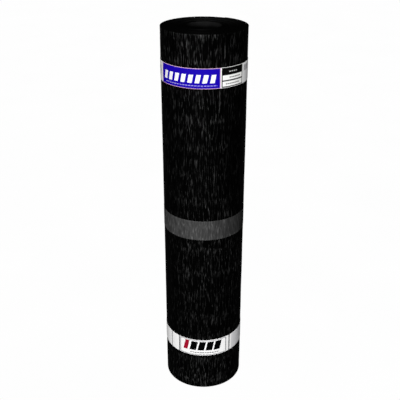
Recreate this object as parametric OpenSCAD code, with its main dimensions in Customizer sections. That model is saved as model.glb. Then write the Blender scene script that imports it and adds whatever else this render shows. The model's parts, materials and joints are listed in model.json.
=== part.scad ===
// Roll of roofing felt, standing on its end.
// One long bitumen sheet wound on itself round an open bore, held by three paper
// bands wrapped round its outermost turn. Millimetres, +Z up. The origin is the
// centre of the lower end, on the floor that the roll stands on.

/* [Felt roll] */
// Length of the roll, which is the width of the sheet
roll_h = 1000; // [900:10:1100]
// Outer diameter of the roll
roll_d = 212; // [160:1:260]
// Diameter of the open bore through the middle
bore_d = 84; // [50:1:100]
// Nominal thickness of the sheet, mineral and film faces included
felt_t = 3.7; // [2.5:0.1:5]

/* [Turns on the ends] */
// Width of the notch between two neighbouring turns, where their edges round off
notch_w = 0.9; // [0.4:0.1:1.4]
// Depth of that notch below the flat edge of each turn
notch_depth = 0.8; // [0.3:0.1:1.5]

/* [Upper label] */
// Width of the printed paper label near the upper end
upper_label_w = 48.5; // [30:0.5:70]
// Distance from the upper end of the roll down to the label
upper_label_drop = 77.5; // [40:0.5:150]

/* [Middle tape] */
// Width of the plain tape round the middle
middle_tape_w = 54; // [30:0.5:80]
// Height of the tape's centre above the middle of the roll
middle_tape_rise = 2; // [-60:0.5:60]

/* [Lower label] */
// Width of the printed paper label near the lower end
lower_label_w = 51.5; // [30:0.5:70]
// Height of the label's lower edge above the floor
lower_label_rise = 111; // [60:0.5:150]

/* [Paper] */
// Thickness of a label, with its glue
label_t = 0.4; // [0.3:0.1:0.8]
// Thickness of the plain tape
tape_t = 0.3; // [0.2:0.1:0.8]

/* [Hidden] */
roll_r = roll_d / 2;
bore_r = bore_d / 2;
turns = round((roll_r - bore_r) / felt_t);
turn_pitch = (roll_r - bore_r) / turns;
round_faces = 96;

// Outline of one end across all the turns, from the bore outward: each turn has a
// flat edge, and a V notch separates it from the next one.
function end_notches() = [
    for (i = [1:turns - 1])
        let (r = bore_r + i * turn_pitch)
            each [[r - notch_w / 2, 0], [r, notch_depth], [r + notch_w / 2, 0]]
];

// Half section of the roll: the lower end outward, then the upper end back inward.
function roll_section() =
    let (
        lower = concat([[bore_r, 0]], end_notches(), [[roll_r - notch_w / 2, 0], [roll_r, notch_depth]]),
        upper = [for (i = [len(lower) - 1:-1:0]) [lower[i].x, roll_h - lower[i].y]]
    )
    concat(lower, upper);

// The wound sheet: one solid with its bore, and its turns cut into both ends.
module felt_roll() {
    color("#0b0b0c")
        rotate_extrude($fn = round_faces)
            polygon(roll_section());
}

// A band of paper or tape lying on the outermost turn, from height z up.
module wrapped_band(z, width, thickness) {
    translate([0, 0, z])
        rotate_extrude($fn = round_faces)
            translate([roll_r, 0])
                square([thickness, width]);
}

// Printed label near the upper end: its front is a blue panel.
module upper_label_band() {
    color("#1a10a8")
        wrapped_band(roll_h - upper_label_drop - upper_label_w, upper_label_w, label_t);
}

// Plain grey tape that keeps the middle of the roll closed.
module middle_tape_band() {
    color("#4a4a4a")
        wrapped_band(roll_h / 2 + middle_tape_rise - middle_tape_w / 2, middle_tape_w, tape_t);
}

// Printed white label near the lower end.
module lower_label_band() {
    color("#f2f2f0")
        wrapped_band(lower_label_rise, lower_label_w, label_t);
}

felt_roll();
upper_label_band();
middle_tape_band();
lower_label_band();
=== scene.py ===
# Roll of roofing felt, standing on its end: a bitumen sheet wound round an open bore,
# and three paper bands wrapped round its outermost turn.
import json
import math

import bpy
import numpy as np
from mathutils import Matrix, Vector


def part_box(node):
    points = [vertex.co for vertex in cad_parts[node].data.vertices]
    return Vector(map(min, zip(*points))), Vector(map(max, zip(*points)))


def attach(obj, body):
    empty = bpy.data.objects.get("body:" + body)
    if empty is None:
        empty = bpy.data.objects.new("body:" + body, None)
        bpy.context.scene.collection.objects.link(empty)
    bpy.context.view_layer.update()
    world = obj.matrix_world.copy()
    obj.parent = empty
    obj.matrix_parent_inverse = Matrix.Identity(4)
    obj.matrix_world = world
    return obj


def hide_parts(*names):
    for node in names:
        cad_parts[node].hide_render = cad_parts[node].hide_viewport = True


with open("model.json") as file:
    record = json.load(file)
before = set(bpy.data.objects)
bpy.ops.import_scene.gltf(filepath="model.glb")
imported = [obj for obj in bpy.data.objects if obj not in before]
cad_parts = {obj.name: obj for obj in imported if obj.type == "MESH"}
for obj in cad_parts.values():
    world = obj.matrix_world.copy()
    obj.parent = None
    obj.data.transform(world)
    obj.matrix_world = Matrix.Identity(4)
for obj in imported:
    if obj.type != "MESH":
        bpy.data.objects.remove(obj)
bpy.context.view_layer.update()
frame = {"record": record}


# The wound sheet ---------------------------------------------------------------------
# Bitumen felt on a polyester mat, 1 m wide and about 3.7 mm thick, wound round an open
# bore. Its outer face is a thin torch-off film, which crinkles along the roll. Its ends
# are the sheet's two cut edges, so every turn shows there.
ROLL_R, ROLL_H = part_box("felt_roll")[1].x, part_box("felt_roll")[1].z
MOUNTS = {mount["name"]: mount for mount in frame["record"]["mounts"]}
BORE_R = MOUNTS["core_bore"]["dims"]["r_mm"] / 1000
NOMINAL_T = 0.0037
AIR = 0.00025  # between two turns
LAYERS = round((ROLL_R - BORE_R) / NOMINAL_T)
PITCH = (ROLL_R - BORE_R) / LAYERS
SHEET_T = PITCH - AIR
EDGE_ROUNDING = 0.0004
INNER_END = math.radians(-98)  # azimuths, 0 at the front and +90 degrees on +X
FREE_END = math.radians(150)
LEVEL_PART = (FREE_END - INNER_END) / math.tau  # of each turn; it climbs in the rest
WOUND = LAYERS - 1 + LEVEL_PART  # turns from the inner end to the free end
FINE_FROM = WOUND - 1.03  # the crinkled stretch starts just under the free end
INNER_STATIONS, OUTER_STATIONS = 1120, 448  # sections of the plain and crinkled stretches
FILM_ROWS = 174  # points up the crinkled face between its rounded edges
BACK_ROWS = np.array([[0.001], [0.999]])  # next to its rounded edges, so it shades flat
END_FACES = 5  # across each of a strip's two edges, round its rounded corners
LATTICE = 256  # cells each way, after which a noise repeats
CREASE_W, CREASE_H = 0.0088, 0.036  # a cell of the film's crinkles
CREST_RISE = 0.0004  # of the crinkles' tops, above the sheet's plain face
CREASE_DEPTH, HOLLOW_DEPTH = 0.0009, 0.0004


def step_smoothly(x):
    """0 below 0, 1 above 1, and three squares less two cubes of x between."""
    x = np.clip(x, 0, 1)
    return x * x * (3 - 2 * x)


def lattice_noise(x, y, seed):
    """Noise from 0 to 1: a random value at each whole x and y, joined by smooth steps."""
    values = np.random.default_rng(seed).random((LATTICE, LATTICE))
    column, row = np.floor(x).astype(int), np.floor(y).astype(int)
    across, up = step_smoothly(x - column), step_smoothly(y - row)

    def along(row):
        left = values[column % LATTICE, row % LATTICE]
        right = values[(column + 1) % LATTICE, row % LATTICE]
        return left + (right - left) * across

    return along(row) + (along(row + 1) - along(row)) * up


def crinkles(s, z):
    """Height of the film's crinkles, 0 to 1, at length s along the sheet and height z.
    Points are scattered one to a cell, in cells drawn out along the roll. Where a place
    is as near to a second point as to its nearest, a ridge stands, and it falls away
    on both sides as a bell curve. Patches of low noise make some ridges faint."""
    wander = 0.009 * lattice_noise(s / 0.040, z / 0.022, 1)
    x, y = (s + wander) / CREASE_W, z / CREASE_H
    column, row = np.floor(x).astype(int), np.floor(y).astype(int)
    jitter = np.random.default_rng(2).random((2, LATTICE, LATTICE))
    nearest = second = np.full(x.shape, 9.0)
    for i in (-1, 0, 1):
        for j in (-1, 0, 1):
            to_x, to_y = jitter[:, (column + i) % LATTICE, (row + j) % LATTICE]
            far = np.hypot(column + i + to_x - x, row + j + to_y - y)
            second = np.minimum(second, np.maximum(nearest, far))
            nearest = np.minimum(nearest, far)
    patches = 0.3 + 0.7 * lattice_noise(s / 0.03, z / 0.07, 3)
    return np.exp(-(((second - nearest) / 0.26) ** 2)) * patches


def lit_and_worn_patches(s, z):
    """How strongly the film's creases are painted light, partly as a painted highlight and
    partly as wear: 0.25 to 1 in broad patches, from a noise of 130 mm by 330 mm whose
    offset puts a strong patch on the front, where the light falls, and down to six tenths
    of that about 270 mm above the floor."""
    patches = step_smoothly(1.9 * lattice_noise(s / 0.13 + 0.375, z / 0.33, 74) - 0.45)
    return (0.25 + 0.75 * patches) * (0.6 + 0.4 * step_smoothly(np.abs(z - 0.27) / 0.32))


def film_height(s, z):
    """How far the film stands above the sheet's plain face: its crinkles' tops rise a
    little, broad shallow hollows lower it, and it is plain at both ends."""
    hollows = HOLLOW_DEPTH * lattice_noise(s / 0.06, z / 0.11, 6)
    plain = 0.012
    ends = step_smoothly(z / plain) * step_smoothly((ROLL_H - z) / plain)
    return ends * (CREST_RISE - CREASE_DEPTH * (1 - crinkles(s, z)) - hollows)


def sheet_radius(wound):
    """Radius of the sheet's middle after that many turns: constant over the level part
    of each turn, then a smooth step up by one pitch, over the turn below."""
    turn = np.floor(wound)
    climb = step_smoothly((wound - turn - LEVEL_PART) / (1 - LEVEL_PART))
    return BORE_R + PITCH * (turn + climb + 0.5)


def placed(radius, azimuth, up):
    """Points at that radius and height, and that azimuth from the front towards +X."""
    return np.stack([radius * np.sin(azimuth), -radius * np.cos(azimuth), up + 0 * radius], -1)


def even_rows(count):
    """That many evenly spaced places on a face, as shares of its height."""
    return np.linspace(0, 1, count + 2)[1:-1, None]


def section(thickness, height, rounding, outer_rows, inner_rows):
    """Points (outward, up) round a strip's section: four quarter rounds of three points
    each, from the inner top one clockwise, and points at those shares of the way down
    the outer face and up the inner one. So the faces from one point to the next are
    END_FACES over the top, the outer face's, END_FACES below, and the inner face's."""
    middles = np.radians(np.array([[135], [45], [-45], [-135]]))
    turned = middles + np.radians([45, 0, -45])
    outward = (thickness / 2 - rounding) * np.sign(np.cos(middles))
    upward = height / 2 + (height / 2 - rounding) * np.sign(np.sin(middles))
    rounds = np.stack(
        [outward + rounding * np.cos(turned), upward + rounding * np.sin(turned)], -1
    ).reshape(-1, 2)
    top, bottom = np.split(rounds, 2)
    outer_face = top[-1] + outer_rows * (bottom[0] - top[-1])
    inner_face = bottom[-1] + inner_rows * (top[0] - bottom[-1])
    return np.concatenate([top, outer_face, bottom, inner_face])


def strip_quads(stations, points, first=0):
    """Faces between neighbouring sections, each a closed loop of that many points: the
    corners' point numbers, stations, and places round the loop, whose end is one past
    its last point."""
    i, j = np.meshgrid(np.arange(stations - 1), np.arange(points), indexing="ij")
    station = np.stack([i, i, i + 1, i + 1], -1).reshape(-1, 4)
    place = np.stack([j, j + 1, j + 1, j], -1).reshape(-1, 4)
    return first + station * points + place % points, station, place


def into_box(u, v, low, high):
    """u and v, each 0 to 1, moved into the box from low to high of a baking map."""
    return np.stack([low[0] + u * (high[0] - low[0]), low[1] + v * (high[1] - low[1])], -1)


def mesh_piece(name, points, faces, maps, values):
    """A mesh object of those points and faces. A map gives (u, v) at each face corner,
    in the order of the faces, and a value is a number at each point."""
    mesh = bpy.data.meshes.new(name)
    mesh.from_pydata(points.tolist(), [], faces)
    for label, corners in maps.items():
        layer = mesh.uv_layers.new(name=label)
        layer.data.foreach_set("uv", corners.astype(np.float32).ravel())
    for label, numbers in values.items():
        attribute = mesh.attributes.new(label, "FLOAT", "POINT")
        attribute.data.foreach_set("value", numbers.astype(np.float32).ravel())
    mesh.shade_smooth()
    mesh.set_sharp_from_angle(angle=math.radians(60))
    piece = bpy.data.objects.new(name, mesh)
    bpy.context.scene.collection.objects.link(piece)
    return piece


# Turns wound at each section of the sheet, and metres along it.
wound = np.concatenate([
    np.linspace(0, FINE_FROM, INNER_STATIONS, endpoint=False),
    np.linspace(FINE_FROM, WOUND, OUTER_STATIONS),
])
travel = np.concatenate([[0], np.cumsum(np.diff(wound) * math.tau * sheet_radius(wound[1:]))])
# Every turn below the last lies up to 1.1 mm short of the roll's lower end and 1.6 mm
# short of its upper one, as it was wound. The outermost turn reaches the full length.
under_last = step_smoothly((WOUND - 0.75 - wound) / 0.5)
lower_edge = 0.0011 * under_last * lattice_noise(wound * 1.9, 0 * wound, 4)
upper_edge = 0.0016 * under_last * lattice_noise(wound * 2.3, 0 * wound, 5)


# Where each face lies on the baking map, from its low corner to its high one.
FILM_BOX = (0.004, 0.004), (0.69, 0.996)
UPPER_END_BOX = (0.724, 0.724), (0.996, 0.996)
LOWER_END_BOX = (0.724, 0.446), (0.996, 0.718)
BORE_WALL_BOX = (0.724, 0.12), (0.996, 0.44)
HIDDEN_BOX = (0.724, 0.004), (0.996, 0.112)


def sheet_stretch(rows, part):
    """Points of the sheet's sections at those stations, and each point's values: how
    high its crinkle is, how strongly the film takes the painted highlight and wear there,
    and whether it is on the sheet's back or on the film. With rows the film shows, and has
    its relief."""
    outline = section(SHEET_T, ROLL_H, EDGE_ROUNDING, even_rows(rows), BACK_ROWS)
    at, s = wound[part, None], travel[part, None] + 0 * outline[:, 0]
    share = outline[:, 1] / ROLL_H
    z = outline[:, 1] + lower_edge[part, None] * (1 - share) - upper_edge[part, None] * share
    film, back = np.zeros(z.shape), np.zeros(z.shape)
    film[:, END_FACES : END_FACES + rows + 2] = rows > 0
    back[:, [0, -3, -2, -1]] = 1  # the inner face's two edges, and the rows between them
    raised = film * film_height(s, z)
    crest = film * crinkles(s, z)
    worn = film * lit_and_worn_patches(s, z)
    points = placed(sheet_radius(at) + outline[:, 0] + raised, INNER_END + math.tau * at, z)
    return points, {"crest": crest, "worn": worn, "back": back, "film": film}


def sheet_maps(index, station, place, rows):
    """The sheet's own map in metres, along it and round its section, and its map for
    baking, which has a box for each kind of face: the film, the two ends seen along the
    roll, the bore's wall, and rows of the hidden faces between turns."""
    x, y, z = points[index].transpose(2, 0, 1)
    edge, turn = place[:, :1], np.floor(wound[station[:, :1]])
    at, up = wound[station], z / ROLL_H
    from_above = x / ROLL_R / 2 + 0.5, y / ROLL_R / 2 + 0.5
    outline = section(SHEET_T, ROLL_H, EDGE_ROUNDING, even_rows(rows), BACK_ROWS)
    steps = np.hypot(*(np.roll(outline, -1, 0) - outline).T)
    around = np.concatenate([[0], np.cumsum(steps)])
    outer_face = (edge >= END_FACES) & (edge <= END_FACES + rows)
    inner_face = edge > 2 * END_FACES + rows
    row = (2 * turn + outer_face) / (2 * LAYERS)
    spots = np.select(
        [
            (edge < END_FACES)[..., None],
            ((edge > END_FACES + rows) & ~inner_face)[..., None],
            (outer_face & (rows > 0))[..., None],
            (inner_face & (turn == 0))[..., None],
        ],
        [
            into_box(*from_above, *UPPER_END_BOX),
            into_box(*from_above, *LOWER_END_BOX),
            into_box((at - FINE_FROM) / (WOUND - FINE_FROM), up, *FILM_BOX),
            into_box(at, up, *BORE_WALL_BOX),
        ],
        into_box(0.98 * (at - turn), row + 0.8 * up / (2 * LAYERS), *HIDDEN_BOX),
    )
    own = np.stack([travel[station], around[place]], -1)
    return own.reshape(-1, 2), spots.reshape(-1, 2)


inner_points, inner_values = sheet_stretch(0, slice(0, INNER_STATIONS))
outer_points, outer_values = sheet_stretch(FILM_ROWS, slice(INNER_STATIONS, None))
coarse, fine = inner_points.shape[1], outer_points.shape[1]
first_fine = INNER_STATIONS * coarse
points = np.concatenate([inner_points.reshape(-1, 3), outer_points.reshape(-1, 3)])
inner_quads = strip_quads(INNER_STATIONS, coarse)
outer_quads = strip_quads(OUTER_STATIONS, fine, first_fine)

# Where the crinkled stretch starts, the plain section's points join the same ones of
# the fine one, and one many-sided face closes the film between them.
last = first_fine - coarse
film_column = first_fine + np.arange(END_FACES, END_FACES + FILM_ROWS + 2)
joined = np.delete(np.arange(coarse), END_FACES)
join_place = np.stack([joined, joined + 1, joined + 1, joined], -1)
corner = join_place % coarse
fine_corner = first_fine + np.where(corner > END_FACES, corner + FILM_ROWS, corner)
join_index = np.where([True, True, False, False], last + corner, fine_corner)
join_station = INNER_STATIONS - np.array([1, 1, 0, 0]) + 0 * join_place
film_join = [last + END_FACES, last + END_FACES + 1, *film_column[::-1]]
inner_cap = np.arange(coarse)[::-1]
free_cap = first_fine + (OUTER_STATIONS - 1) * fine + np.arange(fine)

quads = np.concatenate([inner_quads[0], outer_quads[0], join_index])
faces = quads.tolist() + [film_join, inner_cap.tolist(), free_cap.tolist()]
parts = [
    sheet_maps(*inner_quads, 0),
    sheet_maps(outer_quads[0], outer_quads[1] + INNER_STATIONS, outer_quads[2], FILM_ROWS),
    sheet_maps(join_index, join_station, join_place, 0),
]
# The three many-sided faces lie between the film and the other boxes.
ends = []
for loop, left in ((film_join, 0.712), (inner_cap, 0.703), (free_cap, 0.694)):
    outward = np.hypot(*points[loop][:, :2].T)
    across = (outward - outward.min()) / np.ptp(outward)
    up = points[loop][:, 2] / ROLL_H
    spots = into_box(across, up, (left, 0.004), (left + 0.006, 0.996))
    ends.append((np.stack([outward, up * ROLL_H], -1), spots))
maps = {
    "sheet": np.concatenate([part[0] for part in parts + ends]),
    "OFBake": np.concatenate([part[1] for part in parts + ends]),
}
values = {
    label: np.concatenate([inner_values[label].ravel(), outer_values[label].ravel()])
    for label in inner_values
}
felt = mesh_piece("felt_roll_wound_sheet", points, faces, maps, values)


def linear(hex_colour):
    """The linear colour of an sRGB hex value such as 0b0b0c, with alpha 1."""
    srgb = [int(hex_colour[i : i + 2], 16) / 255 for i in (0, 2, 4)]
    return [c / 12.92 if c <= 0.04045 else ((c + 0.055) / 1.055) ** 2.4 for c in srgb] + [1]


def node(tree, kind, inputs=(), **settings):
    """One shader node with its settings. An input is a value, or the output that is
    linked to it."""
    made = tree.nodes.new("ShaderNode" + kind)
    for name, value in settings.items():
        setattr(made, name, value)
    for name, value in dict(inputs).items():
        if isinstance(value, bpy.types.NodeSocket):
            tree.links.new(value, made.inputs[name])
        else:
            made.inputs[name].default_value = value
    return made


def new_material(name, piece, **shader_values):
    """A material with one Principled shader, its uniform values set on the sockets."""
    made = bpy.data.materials.new(name)
    made.use_nodes = True
    shader = made.node_tree.nodes["Principled BSDF"]
    for socket, value in shader_values.items():
        shader.inputs[socket.replace("_", " ")].default_value = value
    piece.data.materials.clear()
    piece.data.materials.append(made)
    return made.node_tree, shader


def crease_flecks(tree, metres):
    """Creases in the film, which the felt and the tape take as painted highlights, partly
    wear: thin wavy lines that run along the roll, 1 on a line and 0 between. They lie
    where a noise, whose grains are 5 mm wide and 70 mm high, is near its middle, and a
    second noise, of 4 mm by 18 mm, makes parts of each line fainter."""
    long_grains = {0: metres, 1: (1 / 0.005, 1 / 0.070, 1)}
    grains = node(tree, "VectorMath", long_grains, operation="MULTIPLY")
    noise = node(tree, "TexNoise", {"Vector": grains.outputs[0], "Scale": 1, "Detail": 1})
    middle = node(tree, "Math", {0: noise.outputs["Fac"], 1: 0.5}, operation="SUBTRACT")
    off = node(tree, "Math", {0: middle.outputs[0]}, operation="ABSOLUTE")
    close = {"Value": off.outputs[0], "From Min": 0.047, "From Max": 0.005}
    line = node(tree, "MapRange", close, interpolation_type="SMOOTHSTEP")
    short_grains = {0: metres, 1: (1 / 0.004, 1 / 0.018, 1)}
    spread = node(tree, "VectorMath", short_grains, operation="MULTIPLY")
    patches = node(tree, "TexNoise", {"Vector": spread.outputs[0], "Scale": 1, "Detail": 2})
    strong = {"Value": patches.outputs["Fac"], "From Min": 0.41, "From Max": 0.64, "To Min": 0.05}
    patch = node(tree, "MapRange", strong, interpolation_type="SMOOTHSTEP")
    flecks = node(tree, "Math", {0: line.outputs[0], 1: patch.outputs[0]}, operation="MULTIPLY")
    return flecks.outputs[0]


# Oxidised bitumen, calendered under a burn-off film: deep black with a faint gloss.
# Along its creases it is painted grey and made matt, partly wear and partly a painted
# highlight. The cut edges are bare matt bitumen. The bore's wall is the sheet's back,
# black, and painted lighter near each end as painted light, where light reaches in.
SMOOTH, MATT = 0.24, 0.60
LIT_DOWN_BORE_TO = 0.016  # down the bore from each end
tree, shader = new_material("bitumen_felt_wound", felt, Specular_IOR_Level=0.045)
metres = node(tree, "UVMap", uv_map="sheet").outputs["UV"]
crest = node(tree, "Attribute", attribute_name="crest").outputs["Fac"]
back = node(tree, "Attribute", attribute_name="back").outputs["Fac"]
worn = node(tree, "Attribute", attribute_name="worn").outputs["Fac"]
on_crests = node(tree, "Math", {0: crest, 1: 0.6, 2: 0.55}, operation="MULTIPLY_ADD")
creases = {0: crease_flecks(tree, metres), 1: on_crests.outputs[0]}
flecks = node(tree, "Math", creases, operation="MULTIPLY")
highlight_and_wear = node(tree, "Math", {0: flecks.outputs[0], 1: worn}, operation="MULTIPLY", use_clamp=True)
# Painted highlight, partly wear: grey from 020202 to 444444 on the creases' lines, most on the
# crinkles' tops and in the broad patches.
black = {"Factor": highlight_and_wear.outputs[0], "A": linear("020202"), "B": linear("444444")}
face = node(tree, "Mix", black, data_type="RGBA")
place = node(tree, "TexCoord").outputs["Object"]
lowered = node(tree, "VectorMath", {0: place, 1: (0, 0, ROLL_H / 2)}, operation="SUBTRACT")
from_middle = node(tree, "VectorMath", {0: lowered.outputs[0]}, operation="ABSOLUTE")
up = node(tree, "SeparateXYZ", {0: from_middle.outputs[0]})
bore_light_patches = node(tree, "TexNoise", {"Vector": place, "Scale": 1 / 0.022, "Detail": 1})
near_end = {
    "Value": up.outputs["Z"],
    "From Min": ROLL_H / 2 - LIT_DOWN_BORE_TO,
    "From Max": ROLL_H / 2,
    "To Max": bore_light_patches.outputs["Fac"],
}
bore_lit_near_end = node(tree, "MapRange", near_end, interpolation_type="SMOOTHSTEP")
# Painted light: the bore's wall is painted up to 222222 in patches near each end, where light reaches
# in, and black deeper down, where it is in shade.
bore_light = {"Factor": bore_lit_near_end.outputs[0], "A": linear("020202"), "B": linear("222222")}
wall = node(tree, "Mix", bore_light, data_type="RGBA")
on_back = {"Factor": back, "A": face.outputs["Result"], "B": wall.outputs["Result"]}
colour = node(tree, "Mix", on_back, data_type="RGBA")
film = node(tree, "Attribute", attribute_name="film").outputs["Fac"]
by_highlight_and_wear = {"Value": highlight_and_wear.outputs[0], "To Min": SMOOTH, "To Max": MATT}
film_rough = node(tree, "MapRange", by_highlight_and_wear)
by_bore_light = {"Value": bore_lit_near_end.outputs[0], "From Max": 0.3, "To Min": SMOOTH, "To Max": MATT}
bare_rough = node(tree, "MapRange", by_bore_light)
roughness = node(tree, "Mix", {"Factor": film, "A": bare_rough.outputs[0], "B": film_rough.outputs[0]})
grain = node(tree, "TexNoise", {"Vector": place, "Scale": 1 / 0.0012, "Detail": 3})
relief = node(tree, "Bump", {"Height": grain.outputs["Fac"], "Strength": 0.2, "Distance": 0.0001})
folds = {"Height": highlight_and_wear.outputs[0], "Strength": 0.7, "Distance": 0.0005}
raised = node(tree, "Bump", {**folds, "Normal": relief.outputs[0]})
tree.links.new(colour.outputs["Result"], shader.inputs["Base Color"])
tree.links.new(roughness.outputs[0], shader.inputs["Roughness"])
tree.links.new(raised.outputs[0], shader.inputs["Normal"])

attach(felt, "root")
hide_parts("felt_roll")


# Upper label ---------------------------------------------------------------------------
# Coated white paper printed blue, black and grey, wrapped tight round the outermost
# turn with its ends glued one over the other behind. It spans the hollow beside the
# sheet's free end in a straight line.
PAPER_T = 0.00022
PAPER_STATIONS, PAPER_ROWS = 560, 14
UNPRINTED = -100  # a height on the print map that no ink reaches
# Where each face lies on a band's baking map, from its low corner to its high one. The
# printed face is baked in three lengths, one above another.
PRINTED_BOX = (0.004, 0.004), (0.996, 0.3)
GLUED_BOX = (0.004, 0.91), (0.996, 0.94)
EDGES_BOX = (0.004, 0.945), (0.97, 0.996)
CAPS_BOX = (0.975, 0.945), (0.996, 0.996)


def turned_from_free_end(azimuth):
    """Turns wound at the outermost layer at that azimuth, which is the one that shows."""
    return WOUND - (FREE_END - azimuth) % math.tau / math.tau


def drawn_tight(azimuth):
    """Radius of a strip drawn tight round the roll. It touches the roll or spans it on
    a straight line between two places, whichever is farther out: the chord from r to q,
    a and b to either side, crosses at r q sin(a + b) / (r sin a + q sin b)."""
    steps, reach = 720, 90  # half a degree each, and chords of up to 90 degrees
    around = np.arange(steps) * math.tau / steps
    outline = sheet_radius(turned_from_free_end(around)) + SHEET_T / 2
    tight = outline.copy()
    for ahead in range(1, reach, 3):
        for behind in range(1, reach, 3):
            a, b = ahead * math.tau / steps, behind * math.tau / steps
            r, q = np.roll(outline, -ahead), np.roll(outline, behind)
            tight = np.maximum(tight, r * q * math.sin(a + b) / (r * math.sin(a) + q * math.sin(b)))
    return np.interp(azimuth, around, tight, period=math.tau)


def wrapped_band(name, cad_node, thickness, seam, overlap, rows, pressed):
    """A closed strip of paper round the roll from the azimuth of its seam, whose last
    stretch climbs over its first. Pressed is how much of the film's relief it follows.
    Its print map gives millimetres round from the front and up from its lower edge."""
    low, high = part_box(cad_node)
    width = high.z - low.z
    rounding = 0.45 * thickness
    outline = section(thickness, width, rounding, even_rows(rows), even_rows(rows))
    azimuth = np.linspace(seam, seam + math.tau + overlap, PAPER_STATIONS)[:, None]
    before, climb = 0.10, 0.08  # radians: the climb starts before the seam comes round
    lift = 1.5 * thickness * step_smoothly((azimuth - seam - math.tau + before) / climb)
    s = np.interp(turned_from_free_end(azimuth), wound, travel) + 0 * outline[:, 0]
    z = low.z + outline[:, 1] + 0 * azimuth
    radius = drawn_tight(azimuth) + 0.6 * thickness + lift + outline[:, 0]
    followed = CREST_RISE + pressed * (film_height(s, z) - CREST_RISE)
    band_points = placed(radius + followed, azimuth, z).reshape(-1, 3)
    count = len(outline)
    index, station, place = strip_quads(PAPER_STATIONS, count)
    ends = [np.arange(count)[::-1], np.arange(count) + (PAPER_STATIONS - 1) * count]
    face = place[:, :1]
    outer = (face >= END_FACES) & (face <= END_FACES + rows)
    inner = face > 2 * END_FACES + rows
    length = 1000 * ROLL_R * azimuth[station, 0]
    up = 1000 * (band_points[index][..., 2] - low.z)
    print_spots = np.stack([length, np.where(outer, up, UNPRINTED)], -1)
    along, part = station / (PAPER_STATIONS - 1), 3 * station[:, :1] // (PAPER_STATIONS - 1)
    rise = up / up.max()
    edge = face - np.where(face > END_FACES, rows, 0)
    across = (edge + 0.8 * (place - face)) / (2 * END_FACES + 1)
    bake_spots = np.select(
        [outer[..., None], inner[..., None]],
        [
            into_box(3 * along - part, part + 0.96 * rise, *PRINTED_BOX),
            into_box(along, rise, *GLUED_BOX),
        ],
        into_box(along, across, *EDGES_BOX),
    )
    caps = np.concatenate(ends)
    cap_up = (band_points[caps, 2] - low.z) / width
    cap_out = np.hypot(*band_points[caps, :2].T)
    cap_out = (cap_out - cap_out.min()) / np.ptp(cap_out)
    cap_bake = into_box(cap_out, cap_up, *CAPS_BOX)
    cap_print = np.stack([0 * cap_up, 0 * cap_up + UNPRINTED], -1)
    band_maps = {
        "print": np.concatenate([print_spots.reshape(-1, 2), cap_print]),
        "OFBake": np.concatenate([bake_spots.reshape(-1, 2), cap_bake]),
    }
    on_face = np.zeros(count)
    on_face[END_FACES : END_FACES + rows + 2] = 1
    crest = {"crest": on_face * crinkles(s, z)}
    band_faces = index.tolist() + [loop.tolist() for loop in ends]
    band = mesh_piece(name, band_points, band_faces, band_maps, crest)
    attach(band, "root")
    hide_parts(cad_node)
    return band


def printed(tree, colour, boxes):
    """That colour with ink on it. Each box is (ink, left, right, bottom, top), in
    millimetres round from the front and up from the paper's lower edge, and covers what
    is below it. With spacing, width and slant too it is a row of leaning bars."""
    spots = node(tree, "UVMap", uv_map="print")
    apart = node(tree, "SeparateXYZ", {0: spots.outputs["UV"]})
    across, up = apart.outputs["X"], apart.outputs["Y"]
    for ink, left, right, bottom, top, *row in boxes:
        spacing, width, slant = row or (0, 0, 0)
        leaning = node(tree, "Math", {0: up, 1: -slant, 2: across}, operation="MULTIPLY_ADD")
        limits = [(leaning.outputs[0], left, right), (up, bottom, top)]
        if row:
            repeat = {0: leaning.outputs[0], 1: left, 2: left + spacing}
            wrapped = node(tree, "Math", repeat, operation="WRAP")
            limits.append((wrapped.outputs[0], left, left + width))
        mask = 1.0
        for value, low, high in limits:
            near = {0: value, 1: (low + high) / 2, 2: (high - low) / 2}
            inside = node(tree, "Math", near, operation="COMPARE")
            both = node(tree, "Math", {0: inside.outputs[0], 1: mask}, operation="MULTIPLY")
            mask = both.outputs[0]
        laid = {"Factor": mask, "A": colour, "B": linear(ink)}
        colour = node(tree, "Mix", laid, data_type="RGBA").outputs["Result"]
    return colour


def coated_paper(name, band, white, boxes):
    """Coated label paper, calendered smooth with a slight sheen: its fibres cloud it
    faintly and the crinkles below just show through it. It is offset printed with those
    boxes of ink."""
    tree, shader = new_material(name, band, Roughness=0.5, Specular_IOR_Level=0.05)
    place = node(tree, "TexCoord").outputs["Object"]
    fibres = node(tree, "TexNoise", {"Vector": place, "Scale": 1 / 0.004, "Detail": 4})
    cloudy = {"Factor": fibres.outputs["Fac"], "A": linear(white), "B": linear("ffffff")}
    paper = node(tree, "Mix", cloudy, data_type="RGBA")
    crest = node(tree, "Attribute", attribute_name="crest").outputs["Fac"]
    pressed_through = {0: fibres.outputs["Fac"], 1: 0.15, 2: crest}
    height = node(tree, "Math", pressed_through, operation="MULTIPLY_ADD")
    bump = node(tree, "Bump", {"Height": height.outputs[0], "Strength": 0.25, "Distance": 0.0003})
    colour = printed(tree, paper.outputs["Result"], boxes)
    tree.links.new(colour, shader.inputs["Base Color"])
    tree.links.new(bump.outputs[0], shader.inputs["Normal"])


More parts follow.
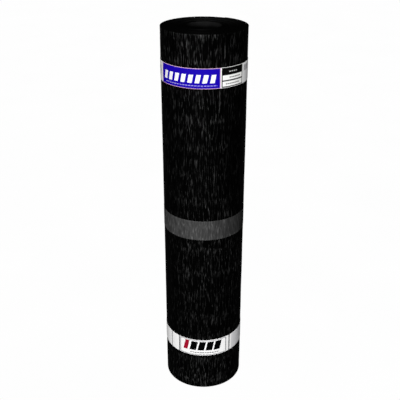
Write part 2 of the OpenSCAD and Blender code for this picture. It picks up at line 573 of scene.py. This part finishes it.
upper_label = wrapped_band(
    "upper_label_printed", "upper_label_band", PAPER_T,
    seam=math.radians(-188), overlap=0.16, rows=PAPER_ROWS, pressed=0.12,
)
WIDE = 1000 * (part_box("upper_label_band")[1].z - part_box("upper_label_band")[0].z)
coated_paper("coated_paper_printed_blue", upper_label, "f0eeec", [
    ("e2dfe4", -216, -137, 0, WIDE),  # pale grey end panel
    ("77727b", -208, -138, 12.0, 15.0, 9.0, 7.4, 0),  # lines of dashes
    ("77727b", -208, -138, 17.0, 20.0, 6.0, 5.0, 0),
    ("66616a", -208, -138, 22.0, 25.2, 8.0, 6.8, 0),
    ("55505a", -208, -138, 27.0, 30.6, 7.0, 6.0, 0),
    ("55505a", -208, -138, 32.4, 36.0, 5.0, 4.2, 0),
    ("d3a5cc", -125, 38.5, 0, WIDE),  # pale edge of the blue panel
    ("1804a8", -123, 37, 1.3, WIDE - 1.3),
    ("f7f5fb", -116, 21.5, 13.8, 33.5, 18.0, 11.0, 0.22),  # bars in its middle
    ("a89ce0", -106, 30, 6.6, 8.4, 7.5, 5.6, 0),  # dashes below them
    ("020202", 41, 106, 1, WIDE - 0.8),  # black cells
    ("c9c9c9", 61, 87, 36.6, 39.0, 6.5, 4.4, 0),
    ("f6f6f4", 43.5, 104, 18.2, 29.7),  # white cells, with a line of dashes each
    ("5a5a5a", 62, 96, 22.6, 25.0, 5.2, 4.0, 0),
    ("f6f6f4", 43.5, 104, 3.4, 15.2),
    ("5a5a5a", 52, 92, 7.8, 10.2, 5.2, 4.0, 0),
    ("f2f2f3", 109, 216, 0, WIDE),  # pale grey end panel
    ("68686c", 115, 141, 29, 43, 3.4, 1.7, 0),  # upright lines
])


# Middle tape ---------------------------------------------------------------------------
# Plain grey self-adhesive tape round the middle, wrapped once with its end stuck over
# its start behind. It is thin enough to sink a little between the crinkles below.
TAPE_T = 0.00012
middle_tape = wrapped_band(
    "middle_tape_plain", "middle_tape_band", TAPE_T,
    seam=math.radians(-179), overlap=0.10, rows=22, pressed=0.62,
)

# Dyed and calendered paper: an even dark grey with a dull sheen. It is painted paler
# on the crinkles' tops and along the creases, partly a painted highlight and partly wear.
tree, shader = new_material("grey_paper_tape", middle_tape, Roughness=0.6, Specular_IOR_Level=0.6)
spots = node(tree, "UVMap", uv_map="print")
metres = node(tree, "VectorMath", {0: spots.outputs["UV"], "Scale": 0.001}, operation="SCALE")
flecks = crease_flecks(tree, metres.outputs[0])
crest = node(tree, "Attribute", attribute_name="crest").outputs["Fac"]
on_crinkles = {0: crest, 1: 0.3, 2: flecks}
streaks = node(tree, "Math", on_crinkles, operation="MULTIPLY_ADD", use_clamp=True)
# Painted highlight, partly wear: paler from 2a2a2a to 5c5c5c on the crinkles' tops and the creases'
# lines.
grey = {"Factor": streaks.outputs[0], "A": linear("2a2a2a"), "B": linear("5c5c5c")}
colour = node(tree, "Mix", grey, data_type="RGBA")
bump = node(tree, "Bump", {"Height": streaks.outputs[0], "Strength": 0.4, "Distance": 0.0004})
tree.links.new(colour.outputs["Result"], shader.inputs["Base Color"])
tree.links.new(bump.outputs[0], shader.inputs["Normal"])


# Lower label ---------------------------------------------------------------------------
# The same coated paper, white, wrapped and glued in the same way. It has thin grey
# rules, a grey stretch over its right end, and one red bar and a row of black ones on
# its front panel.
lower_label = wrapped_band(
    "lower_label_printed", "lower_label_band", PAPER_T,
    seam=math.radians(-172), overlap=0.16, rows=PAPER_ROWS, pressed=0.12,
)
WIDE = 1000 * (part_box("lower_label_band")[1].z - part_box("lower_label_band")[0].z)
coated_paper("coated_paper_printed_white", lower_label, "f4f3f2", [
    ("dcdcde", 86, 216, 0, WIDE),  # grey from 86 mm round to the right end
    ("56545a", -104, -101.5, 0, WIDE),  # upright rules
    ("4c4c50", -74, -71, 0, WIDE),
    ("8c8c90", -69.5, -67, 2, WIDE - 2),
    ("6c6c70", 64.5, 67, 2, WIDE - 2),
    ("5c5c60", 75.5, 79.5, 0, WIDE),
    ("808084", -67, 64.5, WIDE - 3.4, WIDE - 1.6),  # the front panel's frame
    ("808084", -67, 64.5, 1.6, 3.4),
    ("a0122c", -62, -49, 15.5, 47, 40, 12, 0.22),  # red bar
    ("020202", -43.5, 43.5, 17, 45.6, 22.4, 18.2, 0.22),  # black bars
    ("3a3a40", -38, 44, 8.0, 10.6, 6.8, 5.4, 0),  # dashes below them
])


# Floor, light and camera -------------------------------------------------------------
# A plain white studio floor, a soft key light in front and a little to the left, a weak
# fill on the right that only the paper labels take, a low light behind the roll, and a
# camera above the roll's upper end, looking down at it. The floor and the room are white
# to the camera and nearly black to everything else, so that the felt mirrors nothing.
FLOOR_HALF = 12.0
corners = FLOOR_HALF * np.array([[-1, -1, 0], [1, -1, 0], [1, 1, 0], [-1, 1, 0]])
floor = mesh_piece("studio_floor", corners, [[0, 1, 2, 3]], {}, {})
tree, shader = new_material("matt_white_floor_paint", floor, Roughness=0.9)
place = node(tree, "TexCoord").outputs["Object"]
mottle = node(tree, "TexNoise", {"Vector": place, "Scale": 3.0, "Detail": 2})
whites = {"Factor": mottle.outputs["Fac"], "A": linear("fdfdfd"), "B": linear("ffffff")}
colour = node(tree, "Mix", whites, data_type="RGBA")
shader.inputs["Base Color"].default_value = linear("0a0a0a")
seen = node(tree, "LightPath").outputs["Is Camera Ray"]
glow = node(tree, "Emission", {"Color": colour.outputs["Result"], "Strength": 1.0})
blend = node(tree, "MixShader", {0: seen, 1: shader.outputs[0], 2: glow.outputs[0]})
tree.links.new(blend.outputs[0], tree.nodes["Material Output"].inputs["Surface"])

world = bpy.data.worlds.new("studio_white")
bpy.context.scene.world = world
world.use_nodes = True
tree = world.node_tree
seen = node(tree, "LightPath").outputs["Is Camera Ray"]
room = node(tree, "Math", {0: seen, 1: 0.994, 2: 0.006}, operation="MULTIPLY_ADD")
tree.links.new(room.outputs[0], tree.nodes["Background"].inputs["Strength"])
tree.nodes["Background"].inputs["Color"].default_value = (1, 1, 1, 1)


def soft_light(name, azimuth, elevation, distance, size, watts):
    """A square area light at that azimuth and elevation, aimed at the roll's middle."""
    lamp = bpy.data.lights.new(name, "AREA")
    lamp.shape, lamp.size, lamp.energy = "SQUARE", size, watts
    made = bpy.data.objects.new(name, lamp)
    bpy.context.scene.collection.objects.link(made)
    made.rotation_euler = (math.radians(90 - elevation), 0, math.radians(azimuth))
    turned = made.rotation_euler.to_matrix()
    made.location = turned @ Vector((0, 0, distance)) + Vector((0, 0, ROLL_H / 2))
    return made


soft_light("key_light", azimuth=-15, elevation=22, distance=8.0, size=2.6, watts=740)
labels = bpy.data.collections.new("paper_labels")
labels.objects.link(upper_label)
labels.objects.link(lower_label)
fill = soft_light("fill_light", azimuth=66, elevation=10, distance=8.0, size=2.6, watts=170)
fill.light_linking.receiver_collection = labels
soft_light("back_light", azimuth=180, elevation=0, distance=8.0, size=0.9, watts=330)

camera_data = bpy.data.cameras.new("camera")
camera_data.lens, camera_data.sensor_width = 63.86, 36
camera = bpy.data.objects.new("camera", camera_data)
bpy.context.scene.collection.objects.link(camera)
camera.location = (-0.010, -1.699, 1.351)
camera.rotation_euler = (math.radians(90 - 25.54), 0, 0)
bpy.context.scene.camera = camera
bpy.context.scene.view_settings.view_transform = "Standard"
